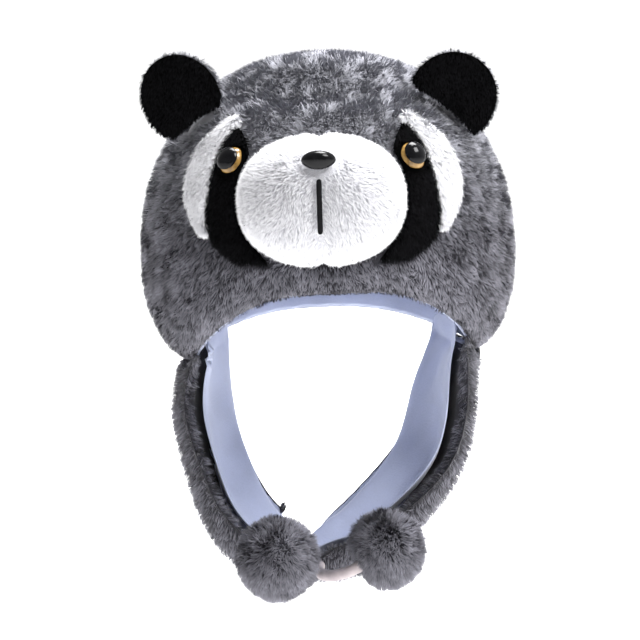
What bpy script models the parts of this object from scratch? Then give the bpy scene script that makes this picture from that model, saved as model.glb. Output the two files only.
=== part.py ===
# Plush animal hat with ears, a stuffed muzzle, two earflaps that meet under the chin, and pompoms.
# Metres, +Z up. The face looks along -Y and +X is on the right of someone who looks at the face.
# The origin is where the top of the head touches the lining.
import math
from collections import namedtuple

import bmesh
import bpy
from mathutils import Matrix, Vector
from mathutils.geometry import interpolate_bezier

# Crown
CROWN_WIDTH = 0.212
CROWN_DEPTH = 0.216
DOME_RISE = 0.116       # widest level up to the top, outside
RIM_TAPER = 0.087       # how far below the widest level the crown's sides would close
CROWN_SQUARENESS = 2.2  # 2 is an ellipsoid
BRIM_HEIGHT = 0.1215    # front brim up to the top, outside
SKIRT_DROP = 0.0475     # how far the rim over the ears hangs below the front brim
NAPE_DROP = 0.040       # the same at the back
BRIM_FLAT = 11          # degrees each side of the front where the brim runs level
BRIM_CORNER = 78        # degrees from the front where the rim reaches its full drop
BRIM_SKEW = 4           # degrees by which the brim sits turned to the right
FUR_WALL = 0.011
LINING_WALL = 0.0024
SEAM_GAP = 0.0008        # between the fur and the lining
HEM_ROUND = 0.0035
LINING_LIFT = 0.0015    # the lining's hem above the fur's

# Dents of the crown
RIDGE_DEPTH = 0.008     # valley between the forehead and the top
CHEEK_CREASE = 0.005    # creases outside the brow stripes
TOP_PUCKER = 0.004

# Face
PATCH_WALL = 0.003
MUZZLE_WIDTH = 0.082
MUZZLE_HEIGHT = 0.063
MUZZLE_LEVEL = 0.41     # its middle, from the front brim up to the top
MUZZLE_REACH = 0.044    # how far it stands out from the crown
MUZZLE_MIDDLE = 0.22    # share of the reach at which its round form is centred
MUZZLE_SQUARENESS = 2.3
MUZZLE_CREASE = 0.003
MUZZLE_CLEARANCE = 0.0015  # to the eye patches
STRIPE_CLEARANCE = 0.0006  # from the patches to the brow stripes
NOSE_LEVEL = 0.70       # its middle, as a share of the muzzle's half height
NOSE_WIDTH = 0.0134
NOSE_HEIGHT = 0.0098
NOSE_DOME = 0.0055
STITCH_DIAMETER = 0.0016
STITCH_TOP = 0.44       # shares of the muzzle's half height
STITCH_BOTTOM = -0.40
EYE_SPACING = 0.0893
EYE_LEVEL = 0.58        # a share of the muzzle's half height
EYE_WIDTH = 0.0130
EYE_HEIGHT = 0.0142
EYE_DOME = 0.0042
EYE_CORNER = 0.16       # how far its soft corner draws out, as a share
PUPIL_WIDTH = 0.0110
PUPIL_SHIFT = 0.0003    # outwards from the middle of the face
PUPIL_DOME = 0.0012
PART_GAP = 0.0003

# Ears
EAR_DIAMETER = 0.048
EAR_FRONT_WALL = 0.0055
EAR_BACK_WALL = 0.0085
EAR_CUP = 0.004         # hollow of the ear's face

# Flaps, cords and pompoms
FLAP_WIDTH = 0.084
FLAP_THICKNESS = 0.0155
FLAP_DROP = 0.116       # rim over the ears down to the chin
FLAP_ROOT_MIDDLE = 91   # degrees from the front
FLAP_ROOT_SPAN = 80     # degrees along the rim
FLAP_SEAM_GAP = 0.0009  # between the rim and a flap's root
FLAP_LINING_GAP = 0.0014
FLAP_LINING_WALL = 0.0020
POMPOM_DIAMETER = 0.047
POMPOM_DIMPLE = 0.30    # share of the radius, where the cord is sewn in
LOCK_DEPTH = 0.0028
LOCKS = 90
CORD_DIAMETER = 0.006
CORD_SEAT = 0.0035      # from the bottom of the dimple to the cord's end

FUR_GREY = (0.20, 0.19, 0.21)
FUR_BLACK = (0.012, 0.012, 0.014)
FUR_WHITE = (0.82, 0.82, 0.84)
LINING_WHITE = (0.62, 0.64, 0.74)
CORD_PINK = (0.60, 0.54, 0.55)
AMBER = (0.38, 0.20, 0.06)
GLOSS_BLACK = (0.008, 0.008, 0.009)

TOP_OUTSIDE = FUR_WALL + SEAM_GAP + LINING_WALL
WIDEST_Z = TOP_OUTSIDE - DOME_RISE
BRIM_Z = TOP_OUTSIDE - BRIM_HEIGHT
SKIRT_Z = BRIM_Z - SKIRT_DROP
HALF_WIDTH = CROWN_WIDTH / 2
HALF_DEPTH = CROWN_DEPTH / 2

# One row for each section of a flap, root first. Lengths are shares: across of half the crown's width,
# back of half its depth (positive behind the middle), down of the flap's drop, width and thick of the
# flap's own, and bend, the radius it is cupped to, of half the crown's width. turn is the way the outside
# faces, in degrees from the front, and dip how far it faces down.
FlapRow = namedtuple("FlapRow", "across back down turn dip width thick bend")
FLAP_RIGHT = (
    FlapRow(0.715, -0.03, 0.00, 97, 2, 1.12, 0.85, 0.85),
    FlapRow(0.690, -0.05, 0.15, 105, 4, 1.05, 1.00, 0.80),
    FlapRow(0.660, -0.10, 0.34, 110, 14, 1.02, 1.00, 0.60),
    FlapRow(0.585, -0.18, 0.56, 111, 32, 1.02, 1.00, 0.44),
    FlapRow(0.400, -0.26, 0.78, 108, 52, 1.04, 1.00, 0.34),
    FlapRow(0.130, -0.32, 0.99, 100, 76, 1.05, 1.00, 0.28),
    FlapRow(-0.180, -0.34, 1.03, 92, 92, 0.95, 1.00, 0.26),
)
FLAP_LEFT = (
    FlapRow(0.785, -0.03, 0.00, 97, 2, 1.12, 0.85, 0.85),
    FlapRow(0.785, -0.05, 0.16, 100, 2, 1.05, 1.00, 0.80),
    FlapRow(0.765, -0.10, 0.36, 102, 8, 1.02, 1.00, 0.60),
    FlapRow(0.700, -0.18, 0.58, 103, 22, 1.02, 1.00, 0.44),
    FlapRow(0.610, -0.26, 0.80, 102, 42, 1.04, 1.00, 0.34),
    FlapRow(0.450, -0.32, 0.97, 98, 66, 1.05, 1.00, 0.28),
    FlapRow(0.226, -0.34, 1.03, 92, 90, 0.95, 1.00, 0.26),
)

# Face outlines, upper end first: height above the muzzle's middle as a share of half its height, and
# the edges' distance from the middle as shares of half the crown's width.
EdgeRow = namedtuple("EdgeRow", "height inner outer")
EYE_PATCH = (
    EdgeRow(1.03, 0.375, 0.400),
    EdgeRow(0.84, 0.345, 0.450),
    EdgeRow(0.56, 0.330, 0.490),
    EdgeRow(0.12, 0.360, 0.522),
    EdgeRow(-0.36, 0.360, 0.542),
    EdgeRow(-0.74, 0.310, 0.500),
    EdgeRow(-0.98, 0.250, 0.385),
)
BROW_STRIPE = (
    EdgeRow(1.20, 0.385, 0.420),
    EdgeRow(0.98, 0.385, 0.505),
    EdgeRow(0.76, 0.430, 0.580),
    EdgeRow(0.41, 0.450, 0.632),
    EdgeRow(0.01, 0.450, 0.648),
    EdgeRow(-0.28, 0.450, 0.625),
    EdgeRow(-0.57, 0.450, 0.570),
)
# One row for each ear: side, where it is sewn in degrees from the front and as a share of the dome's
# rise, how far its middle stands out as a share of its diameter, and its turn, tilt and lean in degrees.
# The left one shows its grey back.
EarRow = namedtuple("EarRow", "suffix side azimuth level stand turn tilt lean")
EARS = (
    EarRow("left", -1, 58, 0.725, 0.25, -28, 40, 14),
    EarRow("right", 1, 58, 0.735, 0.12, 6, 40, 4),
)

# One row for each pompom: its middle across as a share of half the crown's width and above the chin as
# a share of the flap's drop, its size as a share of the pompom's, the way its dimple faces in degrees
# from the front and up, and how far the cord runs straight out of the dimple as a share of its diameter.
PompomRow = namedtuple("PompomRow", "suffix across above size azimuth lift handle")
POMPOMS = (
    PompomRow("left", -0.269, 0.259, 1.0, 162, 19, 0.42),
    PompomRow("right", 0.262, 0.293, 0.93, -70, -25, 0.28),
)

# Where each cord leaves its flap's tip, and the handle of its curve there, in metres
CORD_STARTS = {
    "left": ((-0.0264, -0.0589, -0.2666), (-0.0205, -0.0653, -0.2701)),
    "right": ((-0.0081, -0.0649, -0.2601), (-0.0110, -0.0800, -0.2620)),
}


def smoothstep(low, high, x):
    t = min(1.0, max(0.0, (x - low) / (high - low)))
    return t * t * (3 - 2 * t)


def hump(x, middle, half_width):
    # 1 at the middle, falling smoothly to 0
    return math.exp(-(((x - middle) / half_width) ** 2))


def signed_power(x, power):
    return math.copysign(abs(x) ** power, x)


def through_rows(rows, share):
    # Catmull-Rom through a table's rows, share 0 to 1, all columns at once
    last = len(rows) - 1
    at = min(max(share, 0.0), 1.0) * last
    i = min(int(at), last - 1)
    t = at - i
    near = [rows[min(max(i + k, 0), last)] for k in (-1, 0, 1, 2)]
    values = []
    for p0, p1, p2, p3 in zip(*near):
        values.append(
            p1 + 0.5 * t * (p2 - p0 + t * (2 * p0 - 5 * p1 + 4 * p2 - p3 + t * (3 * (p1 - p2) + p3 - p0)))
        )
    return type(rows[0])(values) if isinstance(rows[0], Vector) else type(rows[0])(*values)


def rim_height(azimuth):
    # azimuth in radians from the front
    turned = abs(math.degrees(math.remainder(azimuth, math.tau)) - BRIM_SKEW)
    side = SKIRT_DROP * smoothstep(BRIM_FLAT, BRIM_CORNER, turned)
    return BRIM_Z - side + (SKIRT_DROP - NAPE_DROP) * smoothstep(110, 170, turned)


def half_height(upper, inset):
    # the lower half keeps its height, so the wall thins a little to its hem
    return DOME_RISE - inset if upper else RIM_TAPER


def spread_at(height, inset=0.0):
    # the crown's width at a height, as a share of its width at the widest level
    z = height - WIDEST_Z
    share = min(1.0, abs(z) / half_height(z >= 0, inset))
    return (1 - share**CROWN_SQUARENESS) ** (1 / CROWN_SQUARENESS)


def crown_point(azimuth, height, inset=0.0):
    spread = spread_at(height, inset)
    return Vector((
        (HALF_WIDTH - inset) * spread * math.sin(azimuth),
        -(HALF_DEPTH - inset) * spread * math.cos(azimuth),
        height,
    ))


def crown_depth_share(point, inset=0.0):
    # 1 on the crown's surface, less inside it
    flat = math.hypot(point.x / (HALF_WIDTH - inset), point.y / (HALF_DEPTH - inset))
    z = point.z - WIDEST_Z
    up = abs(z) / half_height(z >= 0, inset)
    return (flat**CROWN_SQUARENESS + up**CROWN_SQUARENESS) ** (1 / CROWN_SQUARENESS)


def rest_on_crown(point, proud):
    # a point inside the crown, grown by proud, moves out to its surface
    share = crown_depth_share(point, -proud)
    if share >= 1:
        return point
    middle = Vector((0, 0, WIDEST_Z))
    return middle + (point - middle) / share


def azimuth_of(point):
    return math.atan2(point.x / HALF_WIDTH, -point.y / HALF_DEPTH)


def clear_of_crown(place, reach):
    # the first point of place(0) to place(reach) that is outside the crown
    if crown_depth_share(place(0.0), -PART_GAP) >= 1:
        return place(0.0)
    low, high = 0.0, reach
    for _ in range(30):
        middle = (low + high) / 2
        if crown_depth_share(place(middle), -PART_GAP) < 1:
            low = middle
        else:
            high = middle
    return place(high)


def face_point(x, z, proud):
    # the point of the crown's front with these x and z
    inset = -proud
    spread = spread_at(z, inset)
    side = min(0.999, abs(x) / ((HALF_WIDTH - inset) * spread))
    return crown_point(math.copysign(math.asin(side), x), z, inset)


def face_normal(x, z):
    step = 0.001
    across = face_point(x + step, z, 0) - face_point(x - step, z, 0)
    up = face_point(x, z + step, 0) - face_point(x, z - step, 0)
    return across.cross(up).normalized()


def crown_dent(azimuth, height):
    # how far the fur is drawn in, always inwards, so that what lies on the crown stays clear
    turned = abs(math.degrees(math.remainder(azimuth, math.tau)))
    level = (height - WIDEST_Z) / DOME_RISE
    valley = RIDGE_DEPTH * hump(level, 0.845, 0.05) * (1 - smoothstep(50, 85, turned))
    # the crease runs from the ear's root down and forward to the cheek
    crease_at = 37 + 90 * (level - 0.25)
    crease = CHEEK_CREASE * hump(turned, crease_at, 8) * smoothstep(0.15, 0.32, level)
    crease *= 1 - smoothstep(0.70, 0.80, level)
    pucker = TOP_PUCKER * hump(level, 0.975, 0.02) * hump(turned, 150, 35)
    tuck = 0.6 * HEM_ROUND * hump(turned, 96, 9) * (1 - smoothstep(-0.45, -0.15, level))
    return valley + crease + pucker + tuck


def new_object(name, mesh, material):
    obj = bpy.data.objects.new(name, mesh)
    mesh.materials.append(material)
    hat.objects.link(obj)
    return obj


def finish_mesh(bm, name, material, crease_angle=50):
    bmesh.ops.recalc_face_normals(bm, faces=bm.faces)
    if bm.calc_volume(signed=True) < 0:
        bmesh.ops.reverse_faces(bm, faces=bm.faces)
    mesh = bpy.data.meshes.new(name)
    bm.to_mesh(mesh)
    bm.free()
    mesh.shade_smooth()
    mesh.set_sharp_from_angle(angle=math.radians(crease_angle))
    return new_object(name, mesh, material)


def dome_bmesh(segments, rows):
    # open dome: a UV sphere without its lower pole. The returned function gives a vertex's azimuth and
    # its share of the way from the top to the rim.
    bm = bmesh.new()
    bmesh.ops.create_uvsphere(bm, u_segments=segments, v_segments=rows + 1, radius=1)
    bottom = min(bm.verts, key=lambda v: v.co.z)
    bmesh.ops.delete(bm, geom=[bottom], context="VERTS")

    def place(co):
        polar = math.acos(max(-1.0, min(1.0, co.z)))
        return math.atan2(co.x, -co.y), polar / math.pi * (rows + 1) / rows

    return bm, place


def crown_at(azimuth, share, inset, rim_lift=0.0):
    # share 0 at the top, 1 at the rim, evenly spaced by the latitude of the rounded dome
    def latitude_of(height):
        z = height - WIDEST_Z
        sine = min(1.0, abs(z) / half_height(z >= 0, inset)) ** (CROWN_SQUARENESS / 2)
        return math.copysign(math.asin(sine), z)

    low = latitude_of(rim_height(azimuth) + rim_lift)
    latitude = math.pi / 2 + (low - math.pi / 2) * share
    rise = half_height(latitude >= 0, inset)
    height = WIDEST_Z + rise * signed_power(math.sin(latitude), 2 / CROWN_SQUARENESS)
    return crown_point(azimuth, height, inset)


def make_crown_fur(material):
    bm, place = dome_bmesh(42, 16)
    outer = list(bm.verts)
    rim = [e for e in bm.edges if e.is_boundary]
    copied = bmesh.ops.duplicate(bm, geom=bm.verts[:] + bm.edges[:] + bm.faces[:])
    inner = [g for g in copied["geom"] if isinstance(g, bmesh.types.BMVert)]
    inner_rim = [g for g in copied["geom"] if isinstance(g, bmesh.types.BMEdge) and g.is_boundary]
    for v in outer:
        azimuth, share = place(v.co)
        smooth = crown_at(azimuth, share, 0)
        hem = HEM_ROUND * smoothstep(0.97, 1.0, share)
        v.co = crown_at(azimuth, share, crown_dent(azimuth, smooth.z) + hem)
    for v in inner:
        azimuth, share = place(v.co)
        v.co = crown_at(azimuth, share, FUR_WALL)
    bmesh.ops.bridge_loops(bm, edges=rim + inner_rim)
    return finish_mesh(bm, "crown_fur", material)


def make_crown_lining(material):
    bm, place = dome_bmesh(30, 10)
    for v in bm.verts:
        azimuth, share = place(v.co)
        v.co = crown_at(azimuth, share, FUR_WALL + SEAM_GAP, LINING_LIFT)
    obj = finish_mesh(bm, "crown_lining", material)
    wall = obj.modifiers.new("Wall", "SOLIDIFY")
    wall.thickness = LINING_WALL
    wall.offset = -1
    return obj


def frame_of(rows, share, side):
    # centre, across, outward and row of a flap's section; side -1 mirrors it
    def centre(at):
        row = through_rows(rows, at)
        return Vector((
            side * row.across * HALF_WIDTH,
            row.back * HALF_DEPTH,
            SKIRT_Z - row.down * FLAP_DROP,
        ))

    row = through_rows(rows, share)
    step = 0.01
    along = (centre(share + step) - centre(share - step)).normalized()
    turn, dip = math.radians(row.turn), math.radians(row.dip)
    outward = Vector((
        side * math.sin(turn) * math.cos(dip),
        -math.cos(turn) * math.cos(dip),
        -math.sin(dip),
    ))
    across = outward.cross(along).normalized() * side
    outward = along.cross(across).normalized() * side
    return centre(share), across, outward, row


def flap_root_point(side, across_share, out):
    # under the rim, in the middle of the crown's wall
    azimuth = math.radians(side * (FLAP_ROOT_MIDDLE + across_share * FLAP_ROOT_SPAN / 2))
    wall = FUR_WALL + SEAM_GAP + LINING_WALL
    return crown_point(azimuth, rim_height(azimuth) - FLAP_SEAM_GAP, wall / 2 - out)


def flap_point(rows, share, side, across_share, out):
    # across_share -1 is the front edge and 1 the back edge; out is the distance outwards from the middle
    centre, across, outward, row = frame_of(rows, share, side)
    radius = row.bend * HALF_WIDTH
    angle = across_share * row.width * FLAP_WIDTH / 2 / radius
    # the section is an arc, cupped round the cheek
    point = centre - outward * radius + (across * math.sin(angle) + outward * math.cos(angle)) * (radius + out)
    root = flap_root_point(side, across_share, out)
    point = root.lerp(point, smoothstep(0.0, 0.28, share))
    roof = rim_height(azimuth_of(point)) - FLAP_SEAM_GAP
    point.z = min(point.z, roof)
    return point


def flap_tip_width(share):
    # the sides draw in to a blunt tip
    return math.sqrt(max(0.0, 1 - smoothstep(0.88, 1.0, share) ** 2))


def flap_half_wall(row, share):
    return row.thick * (0.6 + 0.4 * flap_tip_width(share)) * FLAP_THICKNESS / 2


def make_flap(name, rows, side, material):
    # a sheet with two sides, whose sections run from the rim to the tip
    bm = bmesh.new()
    bmesh.ops.create_grid(bm, x_segments=18, y_segments=8, size=1)
    bmesh.ops.solidify(bm, geom=bm.faces[:], thickness=0.1)
    outer_layer = max(v.co.z for v in bm.verts)
    for v in bm.verts:
        share = (v.co.x + 1) / 2
        narrow = max(0.45, flap_tip_width(share))
        # the outside is rounded and the inside nearly flat
        if v.co.z > outer_layer - 0.05:
            depth = max(0.30, math.sqrt(1 - abs(v.co.y) ** 2.5))
        else:
            depth = -max(0.30, 1 - abs(v.co.y) ** 8)
        out = depth * flap_half_wall(through_rows(rows, share), share)
        v.co = flap_point(rows, share, side, v.co.y * narrow, out)
    return finish_mesh(bm, name, material)


def make_flap_lining(name, rows, side, material):
    # a thin sheet on the flap's inner side, a little inside its edges
    bm = bmesh.new()
    bmesh.ops.create_grid(bm, x_segments=15, y_segments=6, size=1)
    for v in bm.verts:
        share = 0.05 + 0.91 * (v.co.x + 1) / 2
        margin = 0.80 * flap_tip_width(share)
        out = -flap_half_wall(through_rows(rows, share), share) - FLAP_LINING_GAP
        v.co = flap_point(rows, share, side, v.co.y * margin, out)
    bm.faces.ensure_lookup_table()
    bm.normal_update()
    middle = bm.faces[len(bm.faces) // 2]
    outward = frame_of(rows, 0.5, side)[2]
    if middle.normal.dot(outward) > 0:
        bmesh.ops.reverse_faces(bm, faces=bm.faces)
    mesh = bpy.data.meshes.new(name)
    bm.to_mesh(mesh)
    bm.free()
    mesh.shade_smooth()
    obj = new_object(name, mesh, material)
    wall = obj.modifiers.new("Wall", "SOLIDIFY")
    wall.thickness = FLAP_LINING_WALL
    wall.offset = 1
    return obj


def muzzle_middle():
    # the point that the muzzle's round form is drawn about, a little in front of the crown
    front = face_point(0, BRIM_Z + MUZZLE_LEVEL * BRIM_HEIGHT, 0)
    return front + Vector((0, -MUZZLE_MIDDLE * MUZZLE_REACH, 0))


def muzzle_point(direction, inset=0.0):
    # direction is a unit vector from the muzzle's middle
    middle = muzzle_middle()
    reach = MUZZLE_REACH * (1 - MUZZLE_MIDDLE)
    size = Vector((MUZZLE_WIDTH / 2 - inset, reach - inset, MUZZLE_HEIGHT / 2 - inset))
    total = sum(abs(c) ** MUZZLE_SQUARENESS for c in direction) ** (1 / MUZZLE_SQUARENESS)
    unit = direction / total
    return middle + Vector((unit.x * size.x, unit.y * size.y, unit.z * size.z))


def muzzle_face(x, level, inset=0.0):
    # the point of the muzzle's front at x, level being a share of its half height
    flat = abs(x / (MUZZLE_WIDTH / 2)) ** MUZZLE_SQUARENESS + abs(level) ** MUZZLE_SQUARENESS
    reach = MUZZLE_REACH * (1 - MUZZLE_MIDDLE)
    depth = (1 - flat) ** (1 / MUZZLE_SQUARENESS) * (reach - inset)
    return muzzle_middle() + Vector((x, -depth, level * (MUZZLE_HEIGHT / 2 - inset)))


def make_muzzle(material):
    bm = bmesh.new()
    bmesh.ops.create_uvsphere(bm, u_segments=26, v_segments=14, radius=1)
    for v in bm.verts:
        direction = v.co.normalized()
        front = smoothstep(0.0, 0.5, -direction.y)
        below_nose = 1 - smoothstep(0.35, 0.6, direction.z)
        groove = MUZZLE_CREASE * hump(direction.x, 0, 0.12) * front * below_nose
        v.co = rest_on_crown(muzzle_point(direction, groove), PART_GAP)
    return finish_mesh(bm, "muzzle", material)


def make_nose(material):
    bm = bmesh.new()
    bmesh.ops.create_uvsphere(bm, u_segments=16, v_segments=8, radius=1)
    half = NOSE_HEIGHT / MUZZLE_HEIGHT
    up = (muzzle_face(0, NOSE_LEVEL + half) - muzzle_face(0, NOSE_LEVEL - half)).normalized()
    across = Vector((1, 0, 0))
    out = across.cross(up)
    seat = muzzle_face(0, NOSE_LEVEL)
    for v in bm.verts:
        wide = 1 + 0.18 * v.co.y  # broader above than below
        point = seat + across * (v.co.x * wide * NOSE_WIDTH / 2) + up * (v.co.y * NOSE_HEIGHT / 2)
        # the back follows the muzzle, the front is domed
        direction = (point - muzzle_middle()).normalized()
        v.co = muzzle_point(direction, -PART_GAP) + out * (NOSE_DOME * max(0.0, v.co.z))
    bmesh.ops.remove_doubles(bm, verts=bm.verts, dist=1e-6)
    return finish_mesh(bm, "nose", material)


def make_mouth_stitch(material):
    # one upright thread in the muzzle's crease, from below the nose towards the chin
    radius = STITCH_DIAMETER / 2
    steps = 10
    points = []
    for i in range(steps + 1):
        level = STITCH_TOP + (STITCH_BOTTOM - STITCH_TOP) * i / steps
        points.append(muzzle_face(0, level, MUZZLE_CREASE * 0.9 - radius - 2 * PART_GAP))
    return make_tube("mouth_stitch", points, STITCH_DIAMETER, 2, material)


def make_tube(name, points, diameter, resolution, material):
    curve = bpy.data.curves.new(name, "CURVE")
    curve.dimensions = "3D"
    curve.bevel_depth = diameter / 2
    curve.bevel_resolution = resolution
    curve.use_fill_caps = True
    spline = curve.splines.new("POLY")
    spline.points.add(len(points) - 1)
    for place, point in zip(spline.points, points):
        place.co = (*point, 1)
    curve.materials.append(material)
    obj = bpy.data.objects.new(name, curve)
    hat.objects.link(obj)
    return obj


def make_cord(name, start, leave, arrive, end, material):
    # a smooth curve between two ends and their handles
    points = interpolate_bezier(Vector(start), Vector(leave), arrive, end, 19)
    return make_tube(name, points, CORD_DIAMETER, 2, material)


def muzzle_edge(z):
    # half the muzzle's width at this height, where it meets the crown
    share = (z - muzzle_middle().z) / (MUZZLE_HEIGHT / 2)
    if abs(share) >= 1:
        return 0.0
    return MUZZLE_WIDTH / 2 * (1 - abs(share) ** MUZZLE_SQUARENESS) ** (1 / MUZZLE_SQUARENESS)


def patch_edge(z):
    # the eye patch's outer edge at this height, 0 above and below it
    height = (z - muzzle_middle().z) / (MUZZLE_HEIGHT / 2)
    if not EYE_PATCH[-1].height < height < EYE_PATCH[0].height:
        return 0.0
    low, high = 0.0, 1.0
    for _ in range(30):
        middle = (low + high) / 2
        if through_rows(EYE_PATCH, middle).height > height:
            low = middle
        else:
            high = middle
    return through_rows(EYE_PATCH, low).outer * HALF_WIDTH


def make_face_strip(name, rows, side, columns, inner_edge, clearance, material):
    # a pad between an inner and an outer edge, lying on the crown and clear of what lies inside it
    bm = bmesh.new()
    bmesh.ops.create_grid(bm, x_segments=columns, y_segments=14, size=1)
    middle_z = muzzle_middle().z
    for v in bm.verts:
        row = through_rows(rows, (1 - v.co.y) / 2)
        z = middle_z + row.height * MUZZLE_HEIGHT / 2
        inner = max(row.inner * HALF_WIDTH, inner_edge(z) + clearance)
        outer = max(row.outer * HALF_WIDTH, inner + clearance)
        x = inner + (outer - inner) * (v.co.x + 1) / 2
        v.co = face_point(side * x, z, PART_GAP)
    if side < 0:
        bmesh.ops.reverse_faces(bm, faces=bm.faces)
    mesh = bpy.data.meshes.new(name)
    bm.to_mesh(mesh)
    bm.free()
    mesh.shade_smooth()
    obj = new_object(name, mesh, material)
    wall = obj.modifiers.new("Wall", "SOLIDIFY")
    wall.thickness = PATCH_WALL
    wall.offset = 1
    return obj


def eye_seat(side):
    # middle of the eye on its patch, with its across, up and outward directions
    x = side * EYE_SPACING / 2
    z = muzzle_middle().z + EYE_LEVEL * MUZZLE_HEIGHT / 2
    outward = face_normal(x, z)
    seat = face_point(x, z, PART_GAP + PATCH_WALL) + outward * (2 * PART_GAP)
    across = Vector((0, 0, 1)).cross(outward).normalized()
    return seat, across, outward.cross(across), outward


def eye_dome(x, y):
    # how far the eye stands out at a point of its outline plane
    flat = (2 * x / EYE_WIDTH) ** 2 + (2 * y / EYE_HEIGHT) ** 2
    return EYE_DOME * math.sqrt(max(0.0, 1 - flat))


def make_eye(suffix, side, amber, black):
    seat, across, up, outward = eye_seat(side)
    corner_at = math.radians(-60 if side > 0 else 50)
    bm = bmesh.new()
    bmesh.ops.create_uvsphere(bm, u_segments=16, v_segments=7, radius=1)
    for v in bm.verts:
        # a drop with one soft corner
        angle = math.atan2(v.co.y, v.co.x)
        corner = 1 + EYE_CORNER * hump(math.remainder(angle - corner_at, math.tau), 0, 0.45)
        x, y = v.co.x * EYE_WIDTH / 2, v.co.y * EYE_HEIGHT / 2
        rise = eye_dome(x, y) if v.co.z > 0 else 0.0
        v.co = seat + (across * x + up * y) * corner + outward * rise
    bmesh.ops.remove_doubles(bm, verts=bm.verts, dist=1e-6)
    finish_mesh(bm, "eye_iris_" + suffix, amber)

    bm = bmesh.new()
    bmesh.ops.create_uvsphere(bm, u_segments=14, v_segments=6, radius=1)
    for v in bm.verts:
        x = v.co.x * PUPIL_WIDTH / 2 + side * PUPIL_SHIFT
        y = v.co.y * PUPIL_WIDTH / 2
        rise = eye_dome(x, y) + 2 * PART_GAP + PUPIL_DOME * max(0.0, v.co.z)
        v.co = seat + across * x + up * y + outward * rise
    bmesh.ops.remove_doubles(bm, verts=bm.verts, dist=1e-6)
    finish_mesh(bm, "eye_pupil_" + suffix, black)


def ear_matrix(ear):
    # the ears stand on the crown's shoulders
    place = crown_point(math.radians(ear.side * ear.azimuth), WIDEST_Z + ear.level * DOME_RISE)
    out = (place - Vector((0, 0, WIDEST_Z))).normalized()
    return (
        Matrix.Translation(place + out * ear.stand * EAR_DIAMETER)
        @ Matrix.Rotation(math.radians(ear.turn), 4, "Z")
        @ Matrix.Rotation(math.radians(ear.side * ear.tilt), 4, "Y")
        @ Matrix.Rotation(math.radians(ear.lean), 4, "X")
    )


def make_ear_panel(name, ear, front, material):
    # one of two domed pads, back to back; the front one is cupped. Local -Y is the ear's face.
    bm = bmesh.new()
    turned = Matrix.Rotation(math.radians(90), 4, "X")
    bmesh.ops.create_uvsphere(bm, u_segments=20, v_segments=7, radius=1, matrix=turned)
    radius = EAR_DIAMETER / 2
    matrix = ear_matrix(ear)
    for v in bm.verts:
        if front:
            y = -SEAM_GAP / 2 - EAR_FRONT_WALL * max(0.0, -v.co.y)
        else:
            y = SEAM_GAP / 2 + EAR_BACK_WALL * max(0.0, v.co.y)

        def place(rise):
            # the lower part draws up inside the ear until it is clear of the crown
            x, z = v.co.x * radius, v.co.z * radius + rise
            cup = EAR_CUP * (1 - (x * x + z * z) / (radius * radius))
            return matrix @ Vector((x, y + cup, z))

        v.co = clear_of_crown(place, EAR_DIAMETER)
    bmesh.ops.remove_doubles(bm, verts=bm.verts, dist=1e-6)
    return finish_mesh(bm, name, material)


def lock_directions():
    # evenly spread points on a ball, by the golden angle
    golden = math.pi * (3 - math.sqrt(5))
    directions = []
    for i in range(LOCKS):
        z = 1 - (2 * i + 1) / LOCKS
        flat = math.sqrt(1 - z * z)
        directions.append(Vector((flat * math.cos(golden * i), flat * math.sin(golden * i), z)))
    return directions


def pompom_middle(row):
    # in front of the flaps' tips, above the chin
    tip = FLAP_RIGHT[-1]
    chin_front = tip.back * HALF_DEPTH - tip.bend * HALF_WIDTH - FLAP_THICKNESS / 2
    chin_z = SKIRT_Z - tip.down * FLAP_DROP
    above = chin_z + row.above * FLAP_DROP
    return Vector((row.across * HALF_WIDTH, chin_front - POMPOM_DIAMETER / 2, above))


def dimple_direction(row):
    azimuth, lift = math.radians(row.azimuth), math.radians(row.lift)
    return Vector((
        math.sin(azimuth) * math.cos(lift),
        -math.cos(azimuth) * math.cos(lift),
        math.sin(lift),
    ))


def make_pompom(row, material):
    # a ball of fur in locks, drawn in where its cord is sewn
    bm = bmesh.new()
    bmesh.ops.create_uvsphere(bm, u_segments=22, v_segments=13, radius=1)
    middle, gather = pompom_middle(row), dimple_direction(row)
    radius = row.size * POMPOM_DIAMETER / 2
    locks = lock_directions()
    spacing = math.sqrt(4 * math.pi / LOCKS) * 0.62
    for v in bm.verts:
        direction = v.co.normalized()
        nearest = max(direction.dot(lock) for lock in locks)
        away = math.acos(max(-1.0, min(1.0, nearest))) / spacing
        lock = LOCK_DEPTH * min(1.0, away)
        dimple = POMPOM_DIMPLE * radius * hump(direction.angle(gather), 0, 0.42)
        v.co = middle + direction * (radius - lock - dimple)
    return finish_mesh(bm, "pompom_" + row.suffix, material, 180)


def make_pompom_cord(row, material):
    # from the flap's tip into the pompom's dimple
    start, leave = CORD_STARTS[row.suffix]
    middle, gather = pompom_middle(row), dimple_direction(row)
    radius = row.size * POMPOM_DIAMETER / 2
    end = middle + gather * (radius * (1 - POMPOM_DIMPLE) - LOCK_DEPTH + CORD_SEAT)
    arrive = end + gather * row.handle * POMPOM_DIAMETER
    return make_cord("pompom_cord_" + row.suffix, start, leave, arrive, end, material)


def material(name, colour, roughness):
    mat = bpy.data.materials.new(name)
    mat.use_nodes = True
    shader = mat.node_tree.nodes["Principled BSDF"]
    shader.inputs["Base Color"].default_value = (*colour, 1)
    shader.inputs["Roughness"].default_value = roughness
    shader.inputs["Metallic"].default_value = 0
    mat.diffuse_color = (*colour, 1)
    return mat


for leftover in list(bpy.data.objects):
    bpy.data.objects.remove(leftover)

hat = bpy.data.collections.new("animal_earflap_hat")
bpy.context.scene.collection.children.link(hat)

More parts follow.
